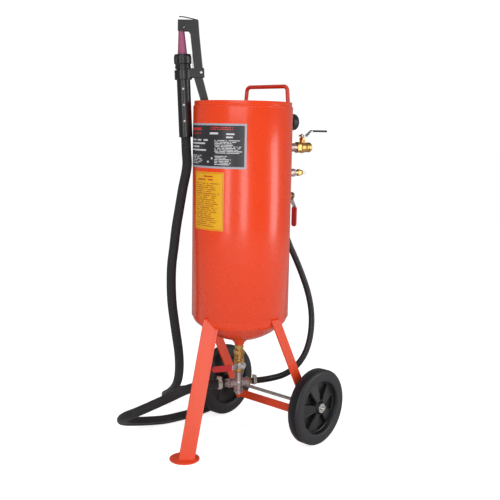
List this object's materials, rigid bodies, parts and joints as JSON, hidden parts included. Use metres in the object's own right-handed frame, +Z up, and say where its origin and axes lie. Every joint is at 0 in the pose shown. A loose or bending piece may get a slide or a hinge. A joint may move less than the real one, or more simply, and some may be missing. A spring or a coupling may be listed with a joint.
{
  "type": "pressure blaster tank",
  "caption": "Wheeled pressure pot for abrasive blasting: upright tank with dished ends, leg, wheels, ball valves, cross fitting, hoses and a blast gun hooked over its rim.",
  "frame": {"origin": "on the floor, under the middle of everything but the two hoses", "axes": "+Z up the tank, -Y towards the front leg, +Y towards the axle, +X to the right seen from the front leg"},
  "size_m": [0.7358, 0.6841, 1.3823],
  "materials": {
    "tank_paint": "gloss",
    "handle_paint": "gloss",
    "leg_paint": "satin",
    "black_rubber": "matte",
    "black_metal": "satin",
    "black_plastic": "satin",
    "zinc_steel": "satin",
    "tyre_rubber": "matte",
    "nickel": "satin",
    "brass": "satin",
    "red_vinyl": "gloss",
    "ceramic": "satin",
    "dial_face": "matte",
    "clear_lens": "clear",
    "label_film": "satin",
    "sheet_film": "satin",
    "hose_rubber": "satin",
    "hose_sleeve": "woven"
  },
  "bodies": {
    "root": {"tank_shell": "tank_paint", "top_head": "tank_paint", "bottom_head": "tank_paint", "outlet_boss": "tank_paint", "filler_collar": "tank_paint", "carry_handle": "handle_paint", "filler_gasket": "black_rubber", "front_leg": "leg_paint", "foot_pad": "leg_paint", "rear_leg_left": "leg_paint", "rear_leg_right": "leg_paint", "crossbar": "leg_paint", "axle": "zinc_steel", "axle_retainer_left": "zinc_steel", "axle_retainer_right": "zinc_steel", "gauge_case": "black_plastic", "gauge_dial": "dial_face", "gauge_lens": "clear_lens", "exhaust_nipple": "nickel", "exhaust_valve_body": "brass", "relief_socket": "nickel", "relief_valve_body": "brass", "air_tee": "nickel", "air_inlet_plug": "zinc_steel", "air_valve_body": "brass", "air_hose_tail_top": "brass", "air_hose_clamp_top": "zinc_steel", "sand_valve_body": "brass", "cross_fitting": "nickel", "cleanout_plug": "zinc_steel", "blast_hose_tail": "nickel", "blast_hose_clamp": "zinc_steel", "air_hose_tail_low": "brass", "air_hose_clamp_low": "zinc_steel", "nozzle_holder": "black_metal", "gun_clamp": "black_metal", "nozzle_cap": "black_metal", "ceramic_nozzle": "ceramic", "front_label": "label_film", "instruction_sheet": "sheet_film", "air_hose": "hose_rubber", "blast_hose": "hose_sleeve"},
    "wheel_left": {"tyre_left": "tyre_rubber", "wheel_disc_left": "black_plastic"},
    "wheel_right": {"tyre_right": "tyre_rubber", "wheel_disc_right": "black_plastic"},
    "exhaust_handle": {"exhaust_valve_stem": "brass", "exhaust_lever": "zinc_steel", "exhaust_lever_sleeve": "black_rubber"},
    "air_handle": {"air_valve_stem": "brass", "air_lever": "zinc_steel", "air_lever_sleeve": "red_vinyl"},
    "sand_handle": {"sand_valve_stem": "brass", "sand_lever": "zinc_steel", "sand_lever_sleeve": "red_vinyl"},
    "deadman": {"deadman_lever": "black_metal", "lever_seal": "black_rubber"},
    "needle": {"gauge_needle": "black_metal"},
    "relief_pull": {"relief_pull_ring": "zinc_steel"},
    "cap": {"filler_cap": "black_metal"}
  },
  "joints": [
    {"name": "wheel_left_spin", "type": "hinge", "parent": "root", "child": "wheel_left", "pos_m": [-0.2105, 0.12256, 0.127], "axis": [1, 0, 0], "continuous": true},
    {"name": "wheel_right_spin", "type": "hinge", "parent": "root", "child": "wheel_right", "pos_m": [0.2105, 0.12256, 0.127], "axis": [1, 0, 0], "continuous": true},
    {"name": "exhaust_valve_turn", "type": "hinge", "parent": "root", "child": "exhaust_handle", "pos_m": [0.04411, 0.2181, 0.979], "axis": [0, 0, 1], "range_deg": [-90, 0]},
    {"name": "air_valve_turn", "type": "hinge", "parent": "root", "child": "air_handle", "pos_m": [0, 0.18396, 0.812], "axis": [0, 1, 0], "range_deg": [-90, 0]},
    {"name": "sand_valve_turn", "type": "hinge", "parent": "root", "child": "sand_handle", "pos_m": [0, -0.03204, 0.265], "axis": [0.8829, -0.4695, 0], "range_deg": [0, 90]},
    {"name": "deadman_squeeze", "type": "hinge", "parent": "root", "child": "deadman", "pos_m": [-0.09219, -0.12913, 1.21054], "axis": [-0.6717, 0.7408, 0], "range_deg": [0, 9], "stiffness_Nm_per_rad": 4, "springref_deg": -11.46},
    {"name": "pressure_reading", "type": "hinge", "parent": "root", "child": "needle", "pos_m": [0.03421, 0.16197, 1.063], "axis": [0.1736, 0.9848, 0], "range_deg": [-270, 0], "stiffness_Nm_per_rad": 0.001},
    {"name": "relief_pull_out", "type": "slide", "parent": "root", "child": "relief_pull", "axis": [0.1736, 0.9848, 0], "range_m": [0, 0.003], "stiffness_N_per_m": 2000},
    {"name": "cap_lift", "type": "slide", "parent": "root", "child": "cap", "axis": [0, 0, 1], "range_m": [0, 0.08]}
  ]
}
